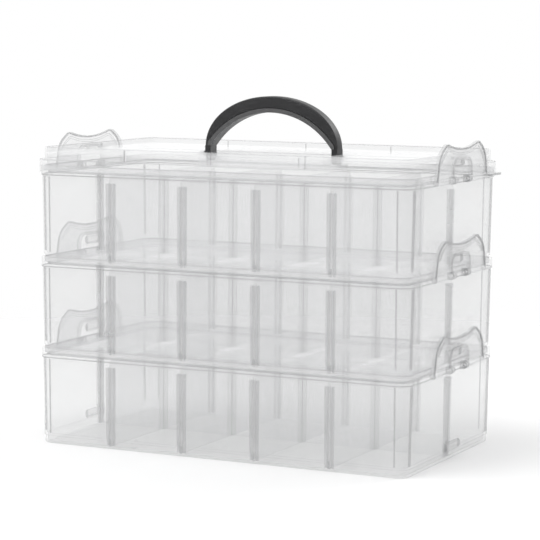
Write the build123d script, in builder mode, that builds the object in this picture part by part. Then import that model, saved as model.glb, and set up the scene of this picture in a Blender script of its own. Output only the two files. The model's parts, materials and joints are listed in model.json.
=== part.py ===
# Three tier stackable storage box with loose dividers, clip latches and a folding handle.
# X runs along the length, Y from front to back, Z up. The origin is the centre of the base.
from build123d import *
import os

# Overall plan of a tray, measured at its rim
length = 324.0
depth = 187.0
corner_radius = 13.0
tier_pitch = 73.5
tier_names = ("bottom", "middle", "top")

# Tray section, heights above the underside of the tray
floor_thickness = 1.8
wall_thickness = 2.0
wall_draft = 1.0
foot_height = 6.5
foot_wall_height = 7.9
foot_round = 1.2
rim_bottom = 69.8
rim_height = 8.2
rim_proud = 0.8
rim_wall = 2.3
rim_round = 0.5
nest_clearance = 0.3
ledge_thickness = 1.8
ledge_width = 2.9

# Dividers and the ribs that hold them
column_count = 5
divider_thickness = 1.4
centre_thickness = 1.6
slot_clearance = 0.6
divider_end_gap = 0.4
divider_top_gap = 0.8
divider_corner = 5.0
rib_width = 2.4
rib_reach = 4.35
rib_top = 65.0
guide_width = 1.6
guide_reach = 2.0

# Catch bosses, low on each end of a tray and on the ends of the lid
boss_width = 28.0
boss_bottom = 7.5
boss_height = 7.0
boss_chamfer = 1.5
boss_reach = 0.8
lid_boss_height = 5.0

# Latches
latch_half_width = 54.0
latch_height = 32.2
latch_valley = 4.6
latch_ear = 34.0
latch_ear_round = 8.0
latch_shoulder_in = 4.5
latch_shoulder_down = 8.5
latch_shoulder_round = 18.0
latch_plate = 1.8
latch_skirt_gap = 0.6
latch_edge_width = 1.6
latch_edge_height = 1.4
arch_half_width = 18.5
arch_round = 8.0
hook_gap = 0.3
hook_bite = 1.5
hook_thickness = 2.7
hook_side_gap = 1.0
barrel_radius = 2.6
barrel_end = 1.0
pivot_clearance = 0.6
pivot_above_rim_bottom = 3.2
pin_radius = 1.5
pin_length = 4.5
pin_clearance = 0.06
lug_radius = 3.0
lug_width = 5.5
side_clearance = 0.3

# Lid, heights above the rim of the top tray
skirt_wall = 1.1
skirt_clearance = 0.3
skirt_drop = 5.6
shoulder_height = 4.7
raised_inset = 2.8
raised_wall = 1.6
lid_height = 14.4
lip_height = 4.4
deck_thickness = 1.6
skirt_notch_margin = 2.5
tab_width = 24.0
tab_reach = 6.0
tab_thickness = 1.8
tab_corner_gap = 6.0
groove_width = 1.2
groove_depth = 0.5
groove_places = (-82.0, -6.0, 74.0)

# Handle and the pocket that it folds into
handle_half_span = 59.0
handle_rise = 41.0
handle_leg = 5.0
handle_depth = 11.0
handle_apex = 13.0
bead_width = 3.4
bead_proud = 0.7
groove_line = 0.6
handle_round = 1.2
handle_behind = 8.0
handle_pin_radius = 2.0
handle_pin_length = 3.2
pocket_side_gap = 0.6
pocket_reach_gap = 1.0
pocket_floor_gap = 0.5
pocket_wall = 1.6
pivot_below_deck = 2.5
socket_block = 4.4
socket_half_depth = 5.0

# Values worked out from the sizes above
rim_top = rim_bottom + rim_height
ledge_top = tier_pitch
ledge_bottom = ledge_top - ledge_thickness
wall_low_inset = rim_proud + wall_draft
foot_inset = rim_wall + nest_clearance
wall_top_inner = rim_proud + wall_thickness
wall_low_inner = wall_low_inset + wall_thickness
foot_inner = foot_inset + wall_thickness
ledge_inset = rim_wall + ledge_width
rib_start = foot_inset + side_clearance / 6
divider_top = ledge_bottom - divider_top_gap
slot_gap = divider_thickness + slot_clearance
end_slot_gap = centre_thickness + slot_clearance
column_pitch = (length - 2 * wall_top_inner) / column_count
divider_places = [column_pitch * (n - column_count / 2) for n in range(1, column_count)]
boss_top = boss_bottom + boss_height
boss_face = length / 2 + boss_reach
hook_level = tier_pitch + boss_top + hook_gap
skirt_face = length / 2 + skirt_clearance + skirt_wall
plate_face = skirt_face + latch_skirt_gap
pivot_x = length / 2 + pivot_clearance + barrel_radius
pivot_z = rim_bottom + pivot_above_rim_bottom
latch_top = rim_bottom + latch_height
top_base = (len(tier_names) - 1) * tier_pitch
lid_seat = top_base + rim_top
lid_top = lid_seat + lid_height
deck_top = lid_top - lip_height
deck_bottom = deck_top - deck_thickness
shoulder_top = lid_seat + shoulder_height
handle_pivot_z = deck_top - pivot_below_deck
bead_half_depth = handle_depth / 2 + bead_proud
pocket_floor = handle_pivot_z - bead_half_depth - pocket_floor_gap
pocket_half_width = handle_half_span + pocket_side_gap
pocket_centre = handle_behind - (lid_top - handle_pivot_z)
pocket_back = handle_behind + bead_half_depth + pocket_reach_gap
inner_rise = handle_rise - handle_apex
inner_half_span = handle_half_span - handle_leg
inner_radius = (inner_half_span**2 + inner_rise**2) / (2 * inner_rise)
inner_centre = lid_top + inner_rise - inner_radius


def plan(inset):
    """Rounded outline of the box in plan, drawn in by the inset."""
    return RectangleRounded(length - 2 * inset, depth - 2 * inset, corner_radius - inset)


def make_tray(base):
    """One tray: floor, foot, drafted walls, ledge, rim, divider ribs, bosses and latch lugs."""
    with BuildPart() as tray:
        with BuildSketch(Plane.XY.offset(base)):
            plan(foot_inset)
        extrude(amount=foot_height)
        fillet(tray.faces().sort_by(Axis.Z)[0].edges(), foot_round)
        with BuildSketch(Plane.XY.offset(base + foot_height)):
            plan(wall_low_inset)
        with BuildSketch(Plane.XY.offset(base + rim_bottom)):
            plan(rim_proud)
        loft()
        with BuildSketch(Plane.XY.offset(base + rim_bottom)):
            plan(0)
        extrude(amount=rim_height)
        fillet(tray.faces().sort_by(Axis.Z)[-1].edges(), rim_round)
        # The hollow, from the floor up: inside the foot, the walls, the ledge and the rim
        with BuildSketch(Plane.XY.offset(base + floor_thickness)):
            plan(foot_inner)
        extrude(amount=foot_wall_height - floor_thickness, mode=Mode.SUBTRACT)
        with BuildSketch(Plane.XY.offset(base + foot_wall_height)):
            plan(wall_low_inner)
        with BuildSketch(Plane.XY.offset(base + rim_bottom)):
            plan(wall_top_inner)
        loft(mode=Mode.SUBTRACT)
        with BuildSketch(Plane.XY.offset(base + rim_bottom)):
            plan(wall_top_inner)
        extrude(amount=ledge_bottom - rim_bottom, mode=Mode.SUBTRACT)
        with BuildSketch(Plane.XY.offset(base + ledge_bottom)):
            plan(ledge_inset)
        extrude(amount=ledge_thickness, mode=Mode.SUBTRACT)
        with BuildSketch(Plane.XY.offset(base + ledge_top)):
            plan(rim_wall)
        extrude(amount=rim_top - ledge_top, mode=Mode.SUBTRACT)
        # Pairs of ribs on the front and back walls hold the ends of the cross dividers
        rib_y = depth / 2 - rib_start - rib_reach / 2
        with BuildSketch(Plane.XY.offset(base + floor_thickness)):
            with Locations(*[(x, side * rib_y) for x in divider_places for side in (-1, 1)]):
                with GridLocations(slot_gap + rib_width, 0, 2, 1):
                    Rectangle(rib_width, rib_reach)
        extrude(amount=rib_top - floor_thickness)
        # A pair on each end wall holds the long divider
        rib_x = length / 2 - rib_start - rib_reach / 2
        with BuildSketch(Plane.XY.offset(base + floor_thickness)):
            with Locations((-rib_x, 0), (rib_x, 0)):
                with GridLocations(0, end_slot_gap + rib_width, 1, 2):
                    Rectangle(rib_reach, rib_width)
        extrude(amount=rib_top - floor_thickness)
        for side in (-1, 1):
            # Catch boss for the latch of the tier below
            with BuildSketch(Plane.XZ.offset(-boss_width / 2)):
                with BuildLine():
                    Polyline(*[(side * x, base + z) for x, z in boss_outline(wall_low_inset, boss_height)],
                             close=True)
                make_face()
            extrude(amount=boss_width)
            # Lugs for the latch of this tier, inside its arch
            for lug_start in (-arch_half_width + lug_width + side_clearance, arch_half_width - side_clearance):
                with BuildSketch(Plane.XZ.offset(-lug_start)):
                    with Locations((side * pivot_x, base + pivot_z)):
                        Circle(lug_radius)
                    with Locations((side * (pivot_x + length / 2 - rim_wall / 2) / 2, base + pivot_z)):
                        Rectangle(pivot_x - length / 2 + rim_wall / 2, 2 * lug_radius)
                    with Locations((side * pivot_x, base + pivot_z)):
                        Circle(pin_radius + pin_clearance, mode=Mode.SUBTRACT)
                extrude(amount=lug_width)
    return tray.part


def boss_outline(wall_inset, height):
    """Side view of a catch boss on a wall, with its sloped top that eases the hook over it."""
    root = length / 2 - wall_inset - wall_thickness / 2
    top = boss_bottom + boss_height
    low = top - height
    return [(root, low), (boss_face - boss_chamfer, low), (boss_face, low + boss_chamfer),
            (boss_face, top - boss_chamfer), (boss_face - boss_chamfer, top), (root, top)]


def make_long_divider(base):
    """Divider along the middle of a tray, with guide ribs for the cross dividers."""
    foot_end = length / 2 - foot_inner - divider_end_gap
    low_end = length / 2 - wall_low_inner - divider_end_gap
    top_end = length / 2 - wall_top_inner - divider_end_gap
    step = base + foot_wall_height + divider_end_gap
    with BuildPart() as divider:
        with BuildSketch(Plane.XZ.offset(-centre_thickness / 2)):
            with BuildLine():
                Polyline((-foot_end, base + floor_thickness), (foot_end, base + floor_thickness),
                         (foot_end, step), (low_end, step), (top_end, base + divider_top),
                         (-top_end, base + divider_top), (-low_end, step), (-foot_end, step), close=True)
            make_face()
        extrude(amount=centre_thickness)
        fillet(divider.edges().filter_by(Axis.Y).group_by(Axis.Z)[-1], divider_corner)
        with BuildSketch(Plane.XY.offset(base + floor_thickness)):
            with Locations(*[(x, 0) for x in divider_places]):
                with GridLocations(slot_gap + guide_width, 0, 2, 1):
                    Rectangle(guide_width, centre_thickness + 2 * guide_reach)
        extrude(amount=rib_top - floor_thickness)
    return divider.part


def make_cross_divider(base, place, side):
    """Short divider from the front or back wall to the long divider."""
    inner = centre_thickness / 2 + side_clearance
    foot_end = depth / 2 - foot_inner - divider_end_gap
    low_end = depth / 2 - wall_low_inner - divider_end_gap
    top_end = depth / 2 - wall_top_inner - divider_end_gap
    step = base + foot_wall_height + divider_end_gap
    with BuildPart() as divider:
        with BuildSketch(Plane.YZ.offset(place - divider_thickness / 2)):
            with BuildLine():
                Polyline((side * inner, base + floor_thickness), (side * foot_end, base + floor_thickness),
                         (side * foot_end, step), (side * low_end, step), (side * top_end, base + divider_top),
                         (side * inner, base + divider_top), close=True)
            make_face()
        extrude(amount=divider_thickness)
        fillet(divider.edges().filter_by(Axis.X).group_by(Axis.Z)[-1], divider_corner)
    return divider.part


def make_latch(base, side):
    """Latch with two ears and an arch, its barrels and pins at the foot of its legs."""
    ear_top = base + latch_top
    pivot_level = base + pivot_z
    arch_top = base + hook_level
    shoulder_y = latch_half_width - latch_shoulder_in
    shoulder_z = ear_top - latch_shoulder_down
    with BuildPart() as latch:
        with BuildSketch(Plane.YZ.offset(side * plate_face)) as face:
            with BuildLine():
                Polyline((latch_ear, ear_top), (shoulder_y, shoulder_z), (latch_half_width, pivot_level),
                         (-latch_half_width, pivot_level), (-shoulder_y, shoulder_z), (-latch_ear, ear_top))
                ThreePointArc((-latch_ear, ear_top), (0, ear_top - latch_valley), (latch_ear, ear_top))
            make_face()
            corners = face.sketch_local.vertices()
            fillet(corners.filter_by_position(Axis.Y, shoulder_z - 1, shoulder_z + 1), latch_shoulder_round)
            fillet(face.sketch_local.vertices().filter_by_position(Axis.Y, ear_top - 0.1, ear_top + 0.1),
                   latch_ear_round)
            with Locations((0, pivot_level)):
                RectangleRounded(2 * arch_half_width, 2 * (arch_top - pivot_level), arch_round,
                                 mode=Mode.SUBTRACT)
        extrude(amount=side * latch_plate)
        # Raised edge round the outside of the plate
        with BuildSketch(Plane.YZ.offset(side * (plate_face + latch_plate))):
            add(face.sketch_local)
            offset(face.sketch_local, -latch_edge_width, mode=Mode.SUBTRACT)
        extrude(amount=side * latch_edge_height)
        # Hook over the catch boss
        hook_half_width = boss_width / 2 - hook_side_gap
        hook_tip = boss_face - hook_bite
        with BuildSketch(Plane.XY.offset(arch_top)):
            with Locations((side * (hook_tip + plate_face + latch_plate) / 2, 0)):
                Rectangle(plate_face + latch_plate - hook_tip, 2 * hook_half_width)
        extrude(amount=hook_thickness)
        for end in (-1, 1):
            # Barrel of the leg, then its pin towards the arch
            barrel_length = latch_half_width - barrel_end - arch_half_width
            with BuildSketch(Plane.XZ.offset(-end * arch_half_width)):
                with Locations((side * pivot_x, pivot_level)):
                    Circle(barrel_radius)
            extrude(amount=-end * barrel_length)
            with BuildSketch(Plane.XZ.offset(-end * arch_half_width)):
                with Locations((side * pivot_x, pivot_level)):
                    Circle(pin_radius)
            extrude(amount=end * pin_length)
    return latch.part


def pocket_plan(grow):
    """Outline of the handle pocket: half an ellipse in front, a straight back."""
    half_width = pocket_half_width + grow
    reach = handle_rise + pocket_reach_gap + grow
    with Locations((0, pocket_centre)):
        Ellipse(half_width, reach)
    with Locations((0, pocket_centre + reach)):
        Rectangle(2 * half_width, 2 * reach, mode=Mode.SUBTRACT)
    with Locations((0, (pocket_centre + pocket_back + grow) / 2)):
        Rectangle(2 * half_width, pocket_back + grow - pocket_centre)


def make_lid():
    """Lid with its skirt, raised top, lip, deck, handle pocket, catch bosses and lift tab."""
    with BuildPart() as lid:
        with BuildSketch(Plane.XY.offset(lid_seat - skirt_drop)):
            plan(-skirt_clearance - skirt_wall)
        extrude(amount=skirt_drop + shoulder_height)
        with BuildSketch(Plane.XY.offset(shoulder_top)):
            plan(raised_inset)
        extrude(amount=lid_top - shoulder_top)
        fillet(lid.faces().sort_by(Axis.Z)[-1].edges(), rim_round)
        # Under the skirt, under the deck, and above the deck inside the lip
        with BuildSketch(Plane.XY.offset(lid_seat - skirt_drop)):
            plan(-skirt_clearance)
        extrude(amount=skirt_drop, mode=Mode.SUBTRACT)
        with BuildSketch(Plane.XY.offset(lid_seat)):
            plan(raised_inset + raised_wall)
        extrude(amount=deck_bottom - lid_seat, mode=Mode.SUBTRACT)
        with BuildSketch(Plane.XY.offset(deck_top)):
            plan(raised_inset + raised_wall)
        extrude(amount=lip_height, mode=Mode.SUBTRACT)
        # Handle pocket with its sockets
        with BuildSketch(Plane.XY.offset(pocket_floor - pocket_wall)):
            pocket_plan(pocket_wall)
        extrude(amount=deck_bottom - pocket_floor + pocket_wall)
        block_x = pocket_half_width + socket_block / 2
        with BuildSketch(Plane.XY.offset(pocket_floor - pocket_wall)):
            with Locations((-block_x, handle_behind), (block_x, handle_behind)):
                Rectangle(socket_block, 2 * socket_half_depth)
        extrude(amount=deck_bottom - pocket_floor + pocket_wall)
        with BuildSketch(Plane.XY.offset(pocket_floor)):
            pocket_plan(0)
        extrude(amount=deck_top - pocket_floor, mode=Mode.SUBTRACT)
        with BuildSketch(Plane.YZ.offset(-handle_half_span - handle_pin_length - side_clearance)):
            with Locations((handle_behind, handle_pivot_z)):
                Circle(handle_pin_radius + pin_clearance)
        extrude(amount=2 * (handle_half_span + handle_pin_length + side_clearance), mode=Mode.SUBTRACT)
        # The skirt stops short of the latches at both ends
        notch_width = 2 * (latch_half_width + skirt_notch_margin)
        with BuildSketch(Plane.XY.offset(lid_seat - skirt_drop)):
            with Locations((-length / 2 - skirt_wall, 0), (length / 2 + skirt_wall, 0)):
                Rectangle(2 * (skirt_wall + skirt_clearance), notch_width)
        extrude(amount=skirt_drop, mode=Mode.SUBTRACT)
        for side in (-1, 1):
            with BuildSketch(Plane.XZ.offset(-boss_width / 2)):
                with BuildLine():
                    outline = boss_outline(raised_inset, lid_boss_height)
                    Polyline(*[(side * x, tier_pitch + top_base + z) for x, z in outline], close=True)
                make_face()
            extrude(amount=boss_width)
        # Shallow grooves down the front of the raised wall
        with BuildSketch(Plane.XY.offset(shoulder_top)):
            with Locations(*[(x, raised_inset - depth / 2) for x in groove_places]):
                Rectangle(groove_width, 2 * groove_depth)
        extrude(amount=lid_top - shoulder_top, mode=Mode.SUBTRACT)
        # Lift tab beside the back right corner
        tab_y = depth / 2 - tab_corner_gap - corner_radius / 2 - tab_width / 2
        with BuildSketch(Plane.XY.offset(lid_seat - skirt_drop)):
            with Locations((skirt_face + tab_reach / 2 - skirt_wall / 2, tab_y)):
                RectangleRounded(tab_reach + skirt_wall, tab_width, tab_reach / 3)
        extrude(amount=tab_thickness)
    return lid.part


def make_handle():
    """Crescent handle, standing up, with a bead along its inner edge and a pin on each foot."""
    with BuildPart() as handle:
        with BuildSketch(Plane.XZ.offset(-handle_behind)):
            with Locations((0, lid_top)):
                Ellipse(handle_half_span, handle_rise)
            with Locations((0, lid_top - handle_rise)):
                Rectangle(2 * handle_half_span, 2 * handle_rise, mode=Mode.SUBTRACT)
            with Locations((0, inner_centre)):
                Circle(inner_radius, mode=Mode.SUBTRACT)
        extrude(amount=handle_depth / 2, both=True)
        outer_edges = handle.edges().filter_by(GeomType.ELLIPSE)
        fillet(outer_edges, handle_round)
        # Groove line on both faces between the strap and the bead
        with BuildSketch(Plane.XZ.offset(-handle_behind)):
            with Locations((0, inner_centre)):
                Circle(inner_radius + bead_width + groove_line)
                Circle(inner_radius, mode=Mode.SUBTRACT)
            with Locations((0, lid_top - handle_rise)):
                Rectangle(4 * handle_half_span, 2 * handle_rise, mode=Mode.SUBTRACT)
        extrude(amount=handle_depth / 2 + bead_proud, both=True, mode=Mode.SUBTRACT)
        with BuildSketch(Plane.XZ.offset(-handle_behind)):
            with Locations((0, inner_centre)):
                Circle(inner_radius + bead_width + groove_line)
                Circle(inner_radius, mode=Mode.SUBTRACT)
            with Locations((0, lid_top - handle_rise)):
                Rectangle(4 * handle_half_span, 2 * handle_rise, mode=Mode.SUBTRACT)
            with Locations((0, lid_top)):
                Ellipse(handle_half_span, handle_rise, mode=Mode.INTERSECT)
        extrude(amount=handle_depth / 2 - groove_line, both=True)
        with BuildSketch(Plane.XZ.offset(-handle_behind)):
            with Locations((0, inner_centre)):
                Circle(inner_radius + bead_width)
                Circle(inner_radius, mode=Mode.SUBTRACT)
            with Locations((0, lid_top - handle_rise)):
                Rectangle(4 * handle_half_span, 2 * handle_rise, mode=Mode.SUBTRACT)
            with Locations((0, lid_top)):
                Ellipse(inner_half_span + handle_leg / 2, handle_rise, mode=Mode.INTERSECT)
        extrude(amount=bead_half_depth, both=True)
        for side in (-1, 1):
            # Leg down to the pivot, with a round foot
            with BuildSketch(Plane.YZ.offset(side * inner_half_span)):
                with Locations((handle_behind, handle_pivot_z)):
                    Circle(handle_depth / 2)
                with Locations((handle_behind, (handle_pivot_z + lid_top) / 2)):
                    Rectangle(handle_depth, lid_top - handle_pivot_z)
            extrude(amount=side * handle_leg)
            with BuildSketch(Plane.YZ.offset(side * handle_half_span)):
                with Locations((handle_behind, handle_pivot_z)):
                    Circle(handle_pin_radius)
            extrude(amount=side * handle_pin_length)
    return handle.part


def save(piece, name):
    """Label a finished piece and write it as one STEP file."""
    piece.label = name
    export_step(piece, "parts/" + name + ".step")


os.makedirs("parts", exist_ok=True)
for level, tier in enumerate(tier_names):
    tier_base = level * tier_pitch
    save(make_tray(tier_base), tier + "_tray")
    save(make_long_divider(tier_base), tier + "_long_divider")
    for row, row_side in (("front", -1), ("back", 1)):
        for number, place in enumerate(divider_places, start=1):
            save(make_cross_divider(tier_base, place, row_side), f"{tier}_{row}_divider_{number}")
    for end_name, end_side in (("left", -1), ("right", 1)):
        save(make_latch(tier_base, end_side), f"{tier}_{end_name}_latch")
save(make_lid(), "lid")
save(make_handle(), "handle")
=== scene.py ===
"""Looks of the three tier stackable storage box: clear moulded plastic, dark handle, plain studio."""
import json
import math

import bmesh
import bpy
from bpy.props import FloatProperty, FloatVectorProperty, IntProperty
from mathutils import Euler, Matrix, Vector


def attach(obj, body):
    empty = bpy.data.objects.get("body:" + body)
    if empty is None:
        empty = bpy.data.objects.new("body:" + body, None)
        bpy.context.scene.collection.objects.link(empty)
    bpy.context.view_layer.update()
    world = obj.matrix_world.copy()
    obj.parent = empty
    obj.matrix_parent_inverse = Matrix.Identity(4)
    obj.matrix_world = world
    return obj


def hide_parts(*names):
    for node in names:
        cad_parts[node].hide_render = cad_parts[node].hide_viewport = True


bl_info = {
    "name": "Stackable storage box",
    "version": (1, 0, 0),
    "blender": (4, 5, 0),
    "location": "3D View > Sidebar > Storage box",
    "description": "Dresses a three tier storage box in clear moulded plastic",
    "category": "Object",
}

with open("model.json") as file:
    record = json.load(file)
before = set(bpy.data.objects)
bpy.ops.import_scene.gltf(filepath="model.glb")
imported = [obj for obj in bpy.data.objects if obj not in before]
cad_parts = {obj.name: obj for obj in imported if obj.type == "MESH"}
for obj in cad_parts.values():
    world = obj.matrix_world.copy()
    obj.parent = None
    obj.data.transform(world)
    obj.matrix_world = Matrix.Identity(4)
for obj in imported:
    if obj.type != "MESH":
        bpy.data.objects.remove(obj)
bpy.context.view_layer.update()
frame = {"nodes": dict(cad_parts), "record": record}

TIERS = ("bottom", "middle", "top")
ENDS = (("left", -1.0), ("right", 1.0))
MM = 0.001
SMOOTH_ANGLE = math.radians(28.0)
FLOW_ANGLE = math.radians(20.0)
FLAT_ANGLE = math.radians(0.5)
BEAD_ANGLE = math.radians(60.0)
MERGE_DISTANCE = 1e-6
LEVEL_TOLERANCE = 0.05 * MM
UP = Vector((0.0, 0.0, 1.0))

# Sizes of the box that the finish follows, in metres
TIER_PITCH = 73.5 * MM
RIM_TOP = 78.0 * MM
RIM_BOTTOM = 69.8 * MM
FOOT_TOP = 6.5 * MM
CORNER_AT = (149.0 * MM, 80.5 * MM)
CORNER_HIGH = 11.2 * MM
CORNER_LOW = 10.2 * MM
LID_LEVELS = (219.4 * MM, 229.7 * MM, 239.4 * MM)
LATCH_FACE = 167.2 * MM

# Beads and lines of denser, darker plastic, whose darker colour is painted refraction shade: radii and how
# far they keep from the ends, in metres
RIM_TOP_BEAD = 0.5 * MM
RIM_BOTTOM_BEAD = 0.45 * MM
LID_BEADS = (0.45 * MM, 0.45 * MM, 0.3 * MM)
LID_BEAD_SIDES = (1.0, -1.0, -1.0)
MARK_BEAD = 0.6 * MM
LATCH_BEAD = 0.65 * MM
CROWN_BEAD = 0.35 * MM
CORNER_LINES = ((math.radians(10.0), 1.0 * MM), (math.radians(84.0), 0.6 * MM))
CORNER_LINE_LOW = FOOT_TOP + 2.0 * MM
CORNER_LINE_HIGH = RIM_BOTTOM - 1.0 * MM
CROWN_DEPTH = 11.0 * MM
CROWN_DROP = 3.6 * MM
CROWN_NARROW = 0.93
LID_MARKS = (-82.4 * MM, -9.0 * MM, 68.6 * MM)
LID_WALL = 90.2 * MM
LID_MARK_SPAN = (230.6 * MM, 238.2 * MM)
HANDLE_BEAD_SIDE = 5.7 * MM
# Where the handle's inner side starts to take the painted bounce light, and over how much it blends in
BOUNCE_LIGHT_START = 0.3
BOUNCE_LIGHT_BLEND = 0.4
HANDLE_PIVOT = (0.0, 8.0 * MM, 232.5 * MM)

# Widths between which a flat strip counts as an edge of the plastic, in metres
THIN_STRIP = 2.0 * MM
WIDE_STRIP = 5.5 * MM

# Plastics: name, share of the wall opacity, share of the edge opacity, scale of the flow marks
CLEAR_PLASTICS = (
    ("tray_plastic", 1.0, 1.4, 14.0),
    ("divider_plastic", 0.9, 0.45, 20.0),
    ("lid_plastic", 1.0, 0.9, 12.0),
    ("latch_plastic", 1.2, 0.9, 24.0),
)
HAZE_GAIN = 1.2
GRAIN_SHARE = 0.06
FINE_BEAD_SHARE = 0.6

# The stage, in metres
KEY_PLACE = (-0.5, -0.6, 1.5)
KEY_SIZE = 1.2
BACK_PLACE = (0.6, 1.1, 1.1)
BACK_SIZE = 0.9
BACK_SHARE = 0.6
LAMP_AIM = Vector((0.0, 0.0, 0.12))
FLOOR_RADIUS = 1.2
FLOOR_FADE = (0.45, 0.9)


# Shader node groups


def new_group(name, inputs, outputs):
    """A shader node group with named sockets: (name, socket type, default) and (name, socket type)."""
    group = bpy.data.node_groups.new(name, "ShaderNodeTree")
    for socket_name, socket_type, default in inputs:
        socket = group.interface.new_socket(socket_name, in_out="INPUT", socket_type=socket_type)
        socket.default_value = default
    for socket_name, socket_type in outputs:
        group.interface.new_socket(socket_name, in_out="OUTPUT", socket_type=socket_type)
    return group, group.nodes.new("NodeGroupInput"), group.nodes.new("NodeGroupOutput")


def remap(nodes, links, value, low, high, to_low, to_high):
    """A clamped map range of a value."""
    node = nodes.new("ShaderNodeMapRange")
    node.inputs["From Min"].default_value = low
    node.inputs["From Max"].default_value = high
    if isinstance(to_low, bpy.types.NodeSocket):
        links.new(to_low, node.inputs["To Min"])
    else:
        node.inputs["To Min"].default_value = to_low
    if isinstance(to_high, bpy.types.NodeSocket):
        links.new(to_high, node.inputs["To Max"])
    else:
        node.inputs["To Max"].default_value = to_high
    links.new(value, node.inputs["Value"])
    return node.outputs["Result"]


def math_node(nodes, links, operation, first, second):
    """A math node on sockets or plain numbers."""
    node = nodes.new("ShaderNodeMath")
    node.operation = operation
    for socket, value in zip(node.inputs, (first, second)):
        if isinstance(value, bpy.types.NodeSocket):
            links.new(value, socket)
        else:
            socket.default_value = value
    return node.outputs["Value"]


def build_moulding_group():
    """Faint flow marks and fine grain of moulded plastic: a haze mask and a height."""
    group, inside, outside = new_group(
        "moulding_flow",
        [("Flow Scale", "NodeSocketFloat", 14.0), ("Grain Scale", "NodeSocketFloat", 900.0)],
        [("Haze", "NodeSocketFloat"), ("Height", "NodeSocketFloat")],
    )
    nodes, links = group.nodes, group.links
    place = nodes.new("ShaderNodeTexCoord")
    stretch = nodes.new("ShaderNodeMapping")
    stretch.inputs["Scale"].default_value = (1.0, 1.0, 2.6)
    links.new(place.outputs["Object"], stretch.inputs["Vector"])
    flow = nodes.new("ShaderNodeTexNoise")
    flow.inputs["Detail"].default_value = 3.0
    flow.inputs["Distortion"].default_value = 0.6
    links.new(stretch.outputs["Vector"], flow.inputs["Vector"])
    links.new(inside.outputs["Flow Scale"], flow.inputs["Scale"])
    grain = nodes.new("ShaderNodeTexNoise")
    grain.inputs["Detail"].default_value = 2.0
    links.new(place.outputs["Object"], grain.inputs["Vector"])
    links.new(inside.outputs["Grain Scale"], grain.inputs["Scale"])
    haze = remap(nodes, links, flow.outputs["Fac"], 0.3, 0.7, 0.0, 1.0)
    fine = math_node(nodes, links, "MULTIPLY", grain.outputs["Fac"], GRAIN_SHARE)
    height = math_node(nodes, links, "ADD", flow.outputs["Fac"], fine)
    links.new(haze, outside.inputs["Haze"])
    links.new(height, outside.inputs["Height"])
    return group


def build_edge_group():
    """Denser plastic where the face is a narrow edge, and the mask where painted refraction shade darkens it,
    from the mesh's own attribute.
    """
    group, inside, outside = new_group(
        "edge_density",
        [("Wall", "NodeSocketFloat", 0.1), ("Edge", "NodeSocketFloat", 0.4)],
        [("Opacity", "NodeSocketFloat"), ("Narrow", "NodeSocketFloat")],
    )
    nodes, links = group.nodes, group.links
    strip = nodes.new("ShaderNodeAttribute")
    strip.attribute_name = "thin"
    opacity = remap(nodes, links, strip.outputs["Fac"], 0.0, 1.0,
                    inside.outputs["Wall"], inside.outputs["Edge"])
    links.new(opacity, outside.inputs["Opacity"])
    links.new(strip.outputs["Fac"], outside.inputs["Narrow"])
    return group


def build_scuff_group():
    """Fine rubbed streaks that show only in the gloss."""
    group, inside, outside = new_group(
        "rubbed_streaks",
        [("Scale", "NodeSocketFloat", 60.0), ("Amount", "NodeSocketFloat", 0.5)],
        [("Streaks", "NodeSocketFloat")],
    )
    nodes, links = group.nodes, group.links
    place = nodes.new("ShaderNodeTexCoord")
    stretch = nodes.new("ShaderNodeMapping")
    stretch.inputs["Scale"].default_value = (1.0, 1.0, 9.0)
    stretch.inputs["Rotation"].default_value = (0.4, 0.9, 0.3)
    links.new(place.outputs["Object"], stretch.inputs["Vector"])
    streak = nodes.new("ShaderNodeTexNoise")
    streak.inputs["Detail"].default_value = 4.0
    links.new(stretch.outputs["Vector"], streak.inputs["Vector"])
    links.new(inside.outputs["Scale"], streak.inputs["Scale"])
    mask = remap(nodes, links, streak.outputs["Fac"], 0.55, 0.8, 0.0, 1.0)
    links.new(math_node(nodes, links, "MULTIPLY", mask, inside.outputs["Amount"]), outside.inputs["Streaks"])
    return group


# Materials


def new_material(name):
    """A material with an empty node tree, its Principled shader and its output."""
    material = bpy.data.materials.new(name)
    material.use_nodes = True
    nodes = material.node_tree.nodes
    nodes.clear()
    shader = nodes.new("ShaderNodeBsdfPrincipled")
    output = nodes.new("ShaderNodeOutputMaterial")
    material.node_tree.links.new(shader.outputs["BSDF"], output.inputs["Surface"])
    return material, nodes, material.node_tree.links, shader


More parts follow.
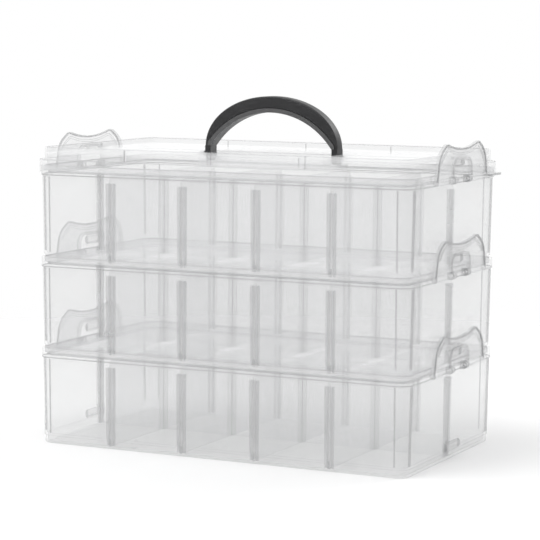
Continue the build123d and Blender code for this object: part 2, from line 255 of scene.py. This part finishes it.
def clear_plastic(name, tint, painted_edge_shade, clear, edge, glance_clear, roughness, flow_scale):
    """Translucent moulded plastic: clear face on, denser at its edges and at a glance, with painted
    refraction shade darkening the narrow edges.
    """
    material, nodes, links, shader = new_material(name)
    moulding = nodes.new("ShaderNodeGroup")
    moulding.node_tree = bpy.data.node_groups["moulding_flow"]
    moulding.inputs["Flow Scale"].default_value = flow_scale
    streaks = nodes.new("ShaderNodeGroup")
    streaks.node_tree = bpy.data.node_groups["rubbed_streaks"]
    density = nodes.new("ShaderNodeGroup")
    density.node_tree = bpy.data.node_groups["edge_density"]
    density.inputs["Edge"].default_value = edge
    wall = remap(nodes, links, moulding.outputs["Haze"], 0.0, 1.0, clear, clear * HAZE_GAIN)
    links.new(wall, density.inputs["Wall"])
    facing = nodes.new("ShaderNodeLayerWeight")
    facing.inputs["Blend"].default_value = 0.5
    glance = math_node(nodes, links, "POWER", facing.outputs["Facing"], 3.0)
    alpha = remap(nodes, links, glance, 0.0, 1.0, density.outputs["Opacity"], glance_clear)
    links.new(alpha, shader.inputs["Alpha"])
    # Painted shade: narrow edge faces take a darker colour that stands in for refraction in the plastic's
    # edges
    shade = nodes.new("ShaderNodeMix")
    shade.data_type = "RGBA"
    shade.inputs["A"].default_value = (*tint, 1.0)
    shade.inputs["B"].default_value = (*painted_edge_shade, 1.0)
    links.new(density.outputs["Narrow"], shade.inputs["Factor"])
    links.new(shade.outputs["Result"], shader.inputs["Base Color"])
    rough = remap(nodes, links, streaks.outputs["Streaks"], 0.0, 1.0, roughness, roughness + 0.18)
    links.new(rough, shader.inputs["Roughness"])
    bump = nodes.new("ShaderNodeBump")
    bump.inputs["Strength"].default_value = 0.05
    bump.inputs["Distance"].default_value = 0.0004
    links.new(moulding.outputs["Height"], bump.inputs["Height"])
    links.new(bump.outputs["Normal"], shader.inputs["Normal"])
    shader.inputs["IOR"].default_value = 1.49
    return material


def bead_plastic(name, painted_edge_shade, opacity):
    """Dark plastic for beads along an edge, where the plastic is seen through its full depth; its dark colour
    is painted shade standing in for refraction.
    """
    material, nodes, links, shader = new_material(name)
    moulding = nodes.new("ShaderNodeGroup")
    moulding.node_tree = bpy.data.node_groups["moulding_flow"]
    shader.inputs["Base Color"].default_value = (*painted_edge_shade, 1.0)
    shader.inputs["Roughness"].default_value = 0.2
    links.new(remap(nodes, links, moulding.outputs["Haze"], 0.0, 1.0, opacity, opacity * 1.1),
              shader.inputs["Alpha"])
    return material


def handle_plastic(name, color, bounce_light_color, roughness):
    """Dark satin moulded plastic with a fine grain; its inner side is painted lighter, standing in for bounce
    light from the lid below.
    """
    material, nodes, links, shader = new_material(name)
    moulding = nodes.new("ShaderNodeGroup")
    moulding.node_tree = bpy.data.node_groups["moulding_flow"]
    moulding.inputs["Flow Scale"].default_value = 40.0
    moulding.inputs["Grain Scale"].default_value = 2600.0
    streaks = nodes.new("ShaderNodeGroup")
    streaks.node_tree = bpy.data.node_groups["rubbed_streaks"]
    streaks.inputs["Scale"].default_value = 120.0
    shade = nodes.new("ShaderNodeMix")
    shade.data_type = "RGBA"
    shade.inputs["A"].default_value = (*color, 1.0)
    shade.inputs["B"].default_value = (*[1.35 * c for c in color], 1.0)
    links.new(moulding.outputs["Haze"], shade.inputs["Factor"])
    # Painted light: the handle's inner side is coloured lighter, standing in for bounce light from the lid
    # below
    painted_bounce_light = nodes.new("ShaderNodeAttribute")
    painted_bounce_light.attribute_name = "painted_bounce_light"
    shader.inputs["Specular IOR Level"].default_value = 0.3
    bounce_light_mix = nodes.new("ShaderNodeMix")
    bounce_light_mix.data_type = "RGBA"
    bounce_light_mix.inputs["B"].default_value = (*bounce_light_color, 1.0)
    links.new(painted_bounce_light.outputs["Fac"], bounce_light_mix.inputs["Factor"])
    links.new(shade.outputs["Result"], bounce_light_mix.inputs["A"])
    links.new(bounce_light_mix.outputs["Result"], shader.inputs["Base Color"])
    rough = remap(nodes, links, streaks.outputs["Streaks"], 0.0, 1.0, roughness, roughness + 0.2)
    links.new(rough, shader.inputs["Roughness"])
    bump = nodes.new("ShaderNodeBump")
    bump.inputs["Strength"].default_value = 0.25
    bump.inputs["Distance"].default_value = 0.0002
    links.new(moulding.outputs["Height"], bump.inputs["Height"])
    links.new(bump.outputs["Normal"], shader.inputs["Normal"])
    return material


# Meshes


def mark_thin(work):
    """Give each face how narrow its smooth patch is: 1 on a narrow edge, 0 on a wide wall."""
    layer = work.faces.layers.float.new("thin")
    seen = set()
    for first in work.faces:
        if first in seen:
            continue
        patch, area, rim = [first], 0.0, 0.0
        seen.add(first)
        for face in patch:
            area += face.calc_area()
            for edge in face.edges:
                flows = len(edge.link_faces) == 2 and edge.calc_face_angle() < FLOW_ANGLE
                if not flows:
                    rim += edge.calc_length()
                    continue
                for other in edge.link_faces:
                    if other not in seen:
                        seen.add(other)
                        patch.append(other)
        width = 2.0 * area / rim if rim else WIDE_STRIP
        narrow = min(1.0, max(0.0, (WIDE_STRIP - width) / (WIDE_STRIP - THIN_STRIP)))
        for face in patch:
            face[layer] = narrow


def smooth_copy(node, name):
    """A merged copy of a CAD node with smooth rounded corners and crisp edges."""
    mesh = frame["nodes"][node].data.copy()
    mesh.name = name
    work = bmesh.new()
    work.from_mesh(mesh)
    bmesh.ops.remove_doubles(work, verts=work.verts, dist=MERGE_DISTANCE)
    bmesh.ops.dissolve_limit(work, angle_limit=FLAT_ANGLE, verts=work.verts, edges=work.edges,
                             delimit={"NORMAL"})
    bmesh.ops.triangulate(work, faces=work.faces)
    mark_thin(work)
    work.to_mesh(mesh)
    work.free()
    if "custom_normal" in mesh.attributes:
        mesh.attributes.remove(mesh.attributes["custom_normal"])
    mesh.shade_smooth()
    mesh.set_sharp_from_angle(angle=SMOOTH_ANGLE)
    piece = bpy.data.objects.new(name, mesh)
    bpy.context.scene.collection.objects.link(piece)
    return piece


def dress(node, body, material):
    """Put a smooth copy of a CAD node in its place, with a material."""
    piece = smooth_copy(node, node + "_finish")
    piece.data.materials.clear()
    piece.data.materials.append(material)
    for face in piece.data.polygons:
        face.material_index = 0
    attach(piece, body)
    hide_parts(node)
    return piece


def line_loops(node, keep):
    """Closed loops of the CAD node's sharp edges whose two ends pass a test."""
    work = bmesh.new()
    work.from_mesh(frame["nodes"][node].data)
    bmesh.ops.remove_doubles(work, verts=work.verts, dist=MERGE_DISTANCE)
    neighbours = {}
    for edge in work.edges:
        if len(edge.link_faces) == 2 and edge.calc_face_angle() > SMOOTH_ANGLE and keep(edge):
            start, end = edge.verts
            neighbours.setdefault(start, []).append(end)
            neighbours.setdefault(end, []).append(start)
    loops, seen = [], set()
    for first in work.verts:
        if first in seen or len(neighbours.get(first, ())) != 2:
            continue
        loop, current = [first], first
        seen.add(first)
        while True:
            ahead = [v for v in neighbours[current] if v not in seen and len(neighbours[v]) == 2]
            if not ahead:
                break
            current = ahead[0]
            seen.add(current)
            loop.append(current)
        if first in neighbours[current] and len(loop) > 2:
            loops.append([v.co.copy() for v in loop])
    work.free()
    return loops


def loop_length(loop):
    """The length of a closed loop."""
    return sum((loop[i] - loop[i - 1]).length for i in range(len(loop)))


def outer_loop(node, keep):
    """The longest of a CAD node's edge loops that pass a test."""
    loops = line_loops(node, keep)
    if not loops:
        raise RuntimeError(f"{node} has no such edge loop")
    return max(loops, key=loop_length)


def inset(loop, axis, distance):
    """A loop moved towards its own inside, in the plane across the axis."""
    middle = sum(loop, Vector()) / len(loop)
    turn = sum((a - middle).cross(b - middle).dot(axis) for a, b in zip(loop, loop[1:] + loop[:1]))
    inward = axis if turn > 0 else -axis
    moved = []
    for i, point in enumerate(loop):
        before = (point - loop[i - 1]).normalized()
        after = (loop[(i + 1) % len(loop)] - point).normalized()
        first, second = inward.cross(before), inward.cross(after)
        half = (first + second).normalized()
        moved.append(point + half * (distance / max(0.5, half.dot(first))))
    return moved


def build_bead_tree():
    """Geometry nodes that turn lines into round beads of plastic."""
    tree = bpy.data.node_groups.new("edge_bead", "GeometryNodeTree")
    for socket_name, socket_type in (("Lines", "NodeSocketGeometry"), ("Fullness", "NodeSocketFloat"),
                                     ("Sides", "NodeSocketInt"), ("Plastic", "NodeSocketMaterial")):
        tree.interface.new_socket(socket_name, in_out="INPUT", socket_type=socket_type)
    tree.interface.new_socket("Beads", in_out="OUTPUT", socket_type="NodeSocketGeometry")
    nodes, links = tree.nodes, tree.links
    inside, outside = nodes.new("NodeGroupInput"), nodes.new("NodeGroupOutput")
    curve = nodes.new("GeometryNodeMeshToCurve")
    links.new(inside.outputs["Lines"], curve.inputs["Mesh"])
    width = nodes.new("GeometryNodeInputNamedAttribute")
    width.data_type = "FLOAT"
    width.inputs["Name"].default_value = "bead_radius"
    scale = nodes.new("ShaderNodeMath")
    scale.operation = "MULTIPLY"
    links.new(width.outputs["Attribute"], scale.inputs[0])
    links.new(inside.outputs["Fullness"], scale.inputs[1])
    profile = nodes.new("GeometryNodeCurvePrimitiveCircle")
    profile.inputs["Radius"].default_value = 1.0
    links.new(inside.outputs["Sides"], profile.inputs["Resolution"])
    sweep = nodes.new("GeometryNodeCurveToMesh")
    sweep.inputs["Fill Caps"].default_value = True
    links.new(curve.outputs["Curve"], sweep.inputs["Curve"])
    links.new(profile.outputs["Curve"], sweep.inputs["Profile Curve"])
    links.new(scale.outputs["Value"], sweep.inputs["Scale"])
    real = nodes.new("GeometryNodeRealizeInstances")
    links.new(sweep.outputs["Mesh"], real.inputs["Geometry"])
    paint = nodes.new("GeometryNodeSetMaterial")
    links.new(real.outputs["Geometry"], paint.inputs["Geometry"])
    links.new(inside.outputs["Plastic"], paint.inputs["Material"])
    links.new(paint.outputs["Geometry"], outside.inputs["Beads"])
    return tree


def add_beads(name, body, paths, material, sides):
    """Round beads along a body's lines; each path is its points, whether it is closed and its radius."""
    points, edges, widths = [], [], []
    for line, closed, radius in paths:
        start, count = len(points), len(line)
        points += [tuple(point) for point in line]
        widths += [radius] * count
        edges += [(start + i, start + (i + 1) % count) for i in range(count if closed else count - 1)]
    lines = bpy.data.meshes.new(name + "_lines")
    lines.from_pydata(points, edges, [])
    lines.attributes.new("bead_radius", "FLOAT", "POINT").data.foreach_set("value", widths)
    piece = bpy.data.objects.new(name, lines)
    bpy.context.scene.collection.objects.link(piece)
    tree = bpy.data.node_groups["edge_bead"]
    modifier = piece.modifiers.new("beads", "NODES")
    modifier.node_group = tree
    sockets = {item.name: item.identifier for item in tree.interface.items_tree if item.in_out == "INPUT"}
    modifier[sockets["Fullness"]] = 1.0
    modifier[sockets["Sides"]] = sides
    modifier[sockets["Plastic"]] = material
    shaped = piece.evaluated_get(bpy.context.evaluated_depsgraph_get())
    mesh = bpy.data.meshes.new_from_object(shaped)
    piece.modifiers.clear()
    piece.data = mesh
    work = bmesh.new()
    work.from_mesh(mesh)
    bmesh.ops.recalc_face_normals(work, faces=work.faces)
    work.to_mesh(mesh)
    work.free()
    if not mesh.polygons:
        raise RuntimeError(f"{name} came out empty")
    mesh.shade_smooth()
    mesh.set_sharp_from_angle(angle=BEAD_ANGLE)
    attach(piece, body)
    return piece


def at_level(height):
    """A test for edges that lie at a height."""
    return lambda edge: all(abs(v.co.z - height) < LEVEL_TOLERANCE for v in edge.verts)


def level_bead(node, height, radius, inner):
    """A bead's path along a node's outer edge at a height; inner is 1 where it lies above, -1 below."""
    loop = inset(outer_loop(node, at_level(height)), UP, radius)
    return [point + UP * inner * radius for point in loop], True, radius


def on_latch_face(side):
    """A test for edges that lie on the outer face of a latch; side is 1 on the right, -1 on the left."""
    return lambda edge: all(abs(side * v.co.x - LATCH_FACE) < LEVEL_TOLERANCE for v in edge.verts)


def nodes_of(body, word):
    """The CAD nodes of a body whose name holds a word."""
    return [node for node in frame["record"]["behaviour"]["bodies"][body] if word in node]


# Settings shown in the sidebar


class StageSettings(bpy.types.PropertyGroup):
    """Camera, light and floor."""

    yaw: FloatProperty(name="Yaw", description="Turn of the camera about the vertical",
                       default=math.radians(25.724), subtype="ANGLE")
    pitch: FloatProperty(name="Pitch", description="How far the camera looks down",
                         default=math.radians(6.352), subtype="ANGLE")
    roll: FloatProperty(name="Roll", description="Tilt of the camera about its own line of sight",
                        default=math.radians(0.461), subtype="ANGLE")
    camera_place: FloatVectorProperty(name="Camera place", description="Where the camera stands",
                                      default=(0.7677, -1.5895, 0.3368), subtype="TRANSLATION", unit="LENGTH")
    field: FloatProperty(name="Focal length in widths", description="Focal length over the picture's width",
                         default=2194.671 / 540.0)
    world_light: FloatProperty(name="Room light", description="Strength of the even room light", default=0.62)
    key_light: FloatProperty(name="Key light", description="Power of the large lamp above", default=16.0,
                             unit="POWER")
    floor_color: FloatVectorProperty(name="Floor colour", description="Colour of the table", subtype="COLOR",
                                     default=(0.91, 0.91, 0.91))


class PlasticSettings(bpy.types.PropertyGroup):
    """Clear plastic of the trays, dividers, latches and lid."""

    tint: FloatVectorProperty(name="Tint", description="Colour of the milky plastic", subtype="COLOR",
                              default=(0.87, 0.875, 0.88))
    # Painted shade: the darker colour of narrow edges and beads stands in for refraction in the plastic's
    # edges
    painted_edge_shade: FloatVectorProperty(name="Edge tint", description="Painted refraction shade on the plastic's narrow edges and beads",
                              subtype="COLOR", default=(0.43, 0.433, 0.437))
    wall_clear: FloatProperty(name="Wall opacity", description="Opacity of a wall's face seen square on",
                              default=0.14)
    edge_clear: FloatProperty(name="Edge opacity", description="Opacity of a narrow edge face", default=0.36)
    glance_clear: FloatProperty(name="Glance opacity", description="Opacity of a face seen at a glance",
                                default=0.5)
    bead_clear: FloatProperty(name="Bead opacity", description="Opacity of the beads along the edges",
                              default=0.36)
    bead_sides: IntProperty(name="Bead sides", description="Sides of a bead's round section",
                            default=8, min=6)
    roughness: FloatProperty(name="Roughness", description="Roughness of the plastic's gloss", default=0.22)


class HandleSettings(bpy.types.PropertyGroup):
    """Dark plastic of the handle."""

    color: FloatVectorProperty(name="Colour", description="Colour of the handle", subtype="COLOR",
                               default=(0.022, 0.022, 0.023))
    # Painted light: the lighter colour of the handle's inner side stands in for bounce light from the lid
    # below
    painted_bounce_light: FloatVectorProperty(name="Painted bounce light colour", description="Colour of the painted bounce light on the inner side",
                              subtype="COLOR", default=(0.1, 0.1, 0.101))
    roughness: FloatProperty(name="Roughness", description="Roughness of the handle", default=0.42)


# Operators


class MakeMaterials(bpy.types.Operator):
    """Build the shader groups and the materials"""

    bl_idname = "storage_box.make_materials"
    bl_label = "Make materials"

    def execute(self, context):
        plastic = context.scene.box_plastic
        handle = context.scene.box_handle
        build_moulding_group()
        build_scuff_group()
        build_edge_group()
        build_bead_tree()
        for name, wall, edge, flow_scale in CLEAR_PLASTICS:
            clear_plastic(name, plastic.tint, plastic.painted_edge_shade, plastic.wall_clear * wall,
                          plastic.edge_clear * edge, plastic.glance_clear, plastic.roughness, flow_scale)
        bead_plastic("bead_plastic", plastic.painted_edge_shade, plastic.bead_clear)
        bead_plastic("fine_bead_plastic", plastic.painted_edge_shade, plastic.bead_clear * FINE_BEAD_SHARE)
        handle_plastic("dark_satin_plastic", handle.color, handle.painted_bounce_light, handle.roughness)
        return {"FINISHED"}


class MakeStage(bpy.types.Operator):
    """Set up the floor, the room light, the lamps and the camera"""

    bl_idname = "storage_box.make_stage"
    bl_label = "Make stage"

    def execute(self, context):
        settings = context.scene.box_stage
        scene = context.scene
        scene.view_settings.view_transform = "Standard"
        scene.cycles.transparent_max_bounces = 64
        scene.cycles.transmission_bounces = 12
        world = bpy.data.worlds.new("room")
        scene.world = world
        world.use_nodes = True
        nodes, links = world.node_tree.nodes, world.node_tree.links
        nodes.clear()
        room = nodes.new("ShaderNodeBackground")
        room.inputs["Color"].default_value = (1.0, 1.0, 1.0, 1.0)
        room.inputs["Strength"].default_value = settings.world_light
        white = nodes.new("ShaderNodeBackground")
        white.inputs["Color"].default_value = (1.0, 1.0, 1.0, 1.0)
        white.inputs["Strength"].default_value = 1.0
        rays = nodes.new("ShaderNodeLightPath")
        seen = math_node(nodes, links, "MAXIMUM", rays.outputs["Is Camera Ray"],
                         math_node(nodes, links, "MAXIMUM", rays.outputs["Is Glossy Ray"],
                                   rays.outputs["Is Transmission Ray"]))
        mix = nodes.new("ShaderNodeMixShader")
        links.new(seen, mix.inputs["Fac"])
        links.new(room.outputs["Background"], mix.inputs[1])
        links.new(white.outputs["Background"], mix.inputs[2])
        output = nodes.new("ShaderNodeOutputWorld")
        links.new(mix.outputs["Shader"], output.inputs["Surface"])
        self.make_floor(settings)
        self.make_lamp("key_lamp", KEY_PLACE, KEY_SIZE, settings.key_light)
        self.make_lamp("back_lamp", BACK_PLACE, BACK_SIZE, settings.key_light * BACK_SHARE)
        self.make_camera(context, settings)
        return {"FINISHED"}

    def make_floor(self, settings):
        """A wide pale table that fades to white and keeps the shadow."""
        work = bmesh.new()
        bmesh.ops.create_circle(work, cap_ends=True, radius=FLOOR_RADIUS, segments=96)
        mesh = bpy.data.meshes.new("floor")
        work.to_mesh(mesh)
        work.free()
        floor = bpy.data.objects.new("floor", mesh)
        bpy.context.scene.collection.objects.link(floor)
        material, nodes, links, shader = new_material("table")
        shader.inputs["Base Color"].default_value = (*settings.floor_color, 1.0)
        shader.inputs["Roughness"].default_value = 0.9
        shader.inputs["Specular IOR Level"].default_value = 0.2
        place = nodes.new("ShaderNodeTexCoord")
        away = nodes.new("ShaderNodeVectorMath")
        away.operation = "LENGTH"
        links.new(place.outputs["Object"], away.inputs[0])
        fade = remap(nodes, links, away.outputs["Value"], *FLOOR_FADE, 1.0, 0.0)
        links.new(fade, shader.inputs["Alpha"])
        mesh.materials.append(material)

    def make_lamp(self, name, place, size, power):
        """A square area lamp aimed at the middle of the box."""
        light = bpy.data.lights.new(name, "AREA")
        light.shape = "SQUARE"
        light.size = size
        light.energy = power
        lamp = bpy.data.objects.new(name, light)
        lamp.location = place
        aim = LAMP_AIM - Vector(place)
        lamp.rotation_euler = aim.to_track_quat("-Z", "Y").to_euler()
        bpy.context.scene.collection.objects.link(lamp)

    def make_camera(self, context, settings):
        """The camera at the photograph's viewing angle."""
        data = bpy.data.cameras.new("camera")
        data.sensor_width = 36.0
        data.lens = settings.field * data.sensor_width
        data.clip_end = 50.0
        camera = bpy.data.objects.new("camera", data)
        turn = Euler((math.pi / 2 - settings.pitch, 0.0, settings.yaw)).to_matrix()
        turn = turn @ Matrix.Rotation(settings.roll, 3, "Z")
        camera.matrix_world = Matrix.Translation(settings.camera_place) @ turn.to_4x4()
        context.scene.collection.objects.link(camera)
        context.scene.camera = camera


class DressTrays(bpy.types.Operator):
    """Dress the three trays in clear plastic"""

    bl_idname = "storage_box.dress_trays"
    bl_label = "Dress trays"

    def execute(self, context):
        plastic = context.scene.box_plastic
        for index, tier in enumerate(TIERS):
            node, base = tier + "_tray", index * TIER_PITCH
            dress(node, tier, bpy.data.materials["tray_plastic"])
            # Painted shade: the dark beads along the rim and the dark upright lines in the corners stand in
            # for refraction in the plastic's edges
            paths = []
            for level, radius, inner in ((RIM_TOP, RIM_TOP_BEAD, -1.0), (RIM_BOTTOM, RIM_BOTTOM_BEAD, 1.0)):
                paths.append(level_bead(node, base + level, radius, inner))
            paths += self.corner_lines(base)
            add_beads(tier + "_edge_beads", tier, paths, bpy.data.materials["bead_plastic"],
                      plastic.bead_sides)
        return {"FINISHED"}

    def corner_lines(self, base):
        """Upright dark lines inside the four rounded corners, where the plastic is seen in its full depth:
        painted shade standing in for refraction in the corners.
        """
        lines = []
        for angle, radius in CORNER_LINES:
            for right in (-1.0, 1.0):
                for back in (-1.0, 1.0):
                    line = []
                    for height, reach in ((CORNER_LINE_LOW, CORNER_LOW), (CORNER_LINE_HIGH, CORNER_HIGH)):
                        line.append((right * (CORNER_AT[0] + reach * math.cos(angle)),
                                     back * (CORNER_AT[1] + reach * math.sin(angle)), base + height))
                    lines.append((line, False, radius))
        return lines


class DressDividers(bpy.types.Operator):
    """Dress the long and cross dividers in clear plastic"""

    bl_idname = "storage_box.dress_dividers"
    bl_label = "Dress dividers"

    def execute(self, context):
        for tier in TIERS:
            for node in nodes_of(tier, "divider"):
                dress(node, tier, bpy.data.materials["divider_plastic"])
        return {"FINISHED"}


class DressLatches(bpy.types.Operator):
    """Dress the six latches in clear plastic"""

    bl_idname = "storage_box.dress_latches"
    bl_label = "Dress latches"

    def execute(self, context):
        for tier in TIERS:
            for end, side in ENDS:
                node = f"{tier}_{end}_latch"
                dress(node, node, bpy.data.materials["latch_plastic"])
                self.add_outline(node, side, context.scene.box_plastic.bead_sides)
        return {"FINISHED"}

    def add_outline(self, node, side, sides):
        """The thick rounded edge of the cover and the second line under its crown, as dark beads whose colour
        is painted refraction shade.
        """
        out = Vector((side, 0.0, 0.0))
        loop = outer_loop(node, on_latch_face(side))
        edge = [point - out * LATCH_BEAD for point in inset(loop, out, LATCH_BEAD)]
        top = max(point.z for point in loop)
        low = [i for i, point in enumerate(loop) if point.z < top - CROWN_DEPTH]
        turned = loop[low[0]:] + loop[:low[0]]
        crown = [Vector((point.x - side * LATCH_BEAD, point.y * CROWN_NARROW, point.z - CROWN_DROP))
                 for point in turned if point.z >= top - CROWN_DEPTH]
        paths = [(edge, True, LATCH_BEAD), (crown, False, CROWN_BEAD)]
        add_beads(node + "_edge_beads", node, paths, bpy.data.materials["fine_bead_plastic"],
                  sides)


class DressLid(bpy.types.Operator):
    """Dress the lid in clear plastic"""

    bl_idname = "storage_box.dress_lid"
    bl_label = "Dress lid"

    def execute(self, context):
        dress("lid", "lid", bpy.data.materials["lid_plastic"])
        # Painted shade: the beads along the lid's levels and the upright marks on its wall are drawn in the
        # dark bead plastic, whose colour stands in for refraction
        paths = [level_bead("lid", level, radius, inner)
                 for level, radius, inner in zip(LID_LEVELS, LID_BEADS, LID_BEAD_SIDES)]
        for place in LID_MARKS:
            for front in (-1.0, 1.0):
                line = [(place, front * LID_WALL, height) for height in LID_MARK_SPAN]
                paths.append((line, False, MARK_BEAD))
        add_beads("lid_edge_beads", "lid", paths, bpy.data.materials["fine_bead_plastic"],
                  context.scene.box_plastic.bead_sides)
        return {"FINISHED"}


class DressHandle(bpy.types.Operator):
    """Dress the handle in dark plastic, with a mask of painted bounce light on its inner side and its bead"""

    bl_idname = "storage_box.dress_handle"
    bl_label = "Dress handle"

    def execute(self, context):
        piece = dress("handle", "handle", bpy.data.materials["dark_satin_plastic"])
        middle = Vector(HANDLE_PIVOT)
        # Painted light: faces turned towards the middle of the arch, and the faces on the bead, get the
        # lighter colour that stands in for bounce light from the lid below
        painted_bounce_light = []
        for face in piece.data.polygons:
            outward = face.center - middle
            outward.y = 0.0
            inner = -face.normal.dot(outward.normalized())
            on_bead = abs(face.center.y - middle.y) > HANDLE_BEAD_SIDE
            painted_bounce_light.append(1.0 if on_bead else min(1.0, max(0.0, (inner - BOUNCE_LIGHT_START) / BOUNCE_LIGHT_BLEND)))
        piece.data.attributes.new("painted_bounce_light", "FLOAT", "FACE").data.foreach_set("value", painted_bounce_light)
        return {"FINISHED"}


class StorageBoxPanel(bpy.types.Panel):
    """Buttons and settings of the storage box"""

    bl_label = "Storage box"
    bl_idname = "VIEW3D_PT_storage_box"
    bl_space_type = "VIEW_3D"
    bl_region_type = "UI"
    bl_category = "Storage box"

    def draw(self, context):
        layout = self.layout
        for operator in OPERATORS:
            layout.operator(operator.bl_idname)
        for group in (context.scene.box_stage, context.scene.box_plastic, context.scene.box_handle):
            for name in group.__annotations__:
                layout.prop(group, name)


OPERATORS = (MakeMaterials, MakeStage, DressTrays, DressDividers, DressLatches, DressLid, DressHandle)
SETTINGS = (("box_stage", StageSettings), ("box_plastic", PlasticSettings), ("box_handle", HandleSettings))


def register():
    """Register the settings, the operators and the panel."""
    for name, group in SETTINGS:
        bpy.utils.register_class(group)
        setattr(bpy.types.Scene, name, bpy.props.PointerProperty(type=group))
    for operator in OPERATORS:
        bpy.utils.register_class(operator)
    bpy.utils.register_class(StorageBoxPanel)


def unregister():
    """Take back everything that register added."""
    bpy.utils.unregister_class(StorageBoxPanel)
    for operator in reversed(OPERATORS):
        bpy.utils.unregister_class(operator)
    for name, group in reversed(SETTINGS):
        delattr(bpy.types.Scene, name)
        bpy.utils.unregister_class(group)


def main():
    register()
    for operator in OPERATORS:
        category, name = operator.bl_idname.split(".")
        getattr(getattr(bpy.ops, category), name)()


if __name__ == "__main__":
    main()
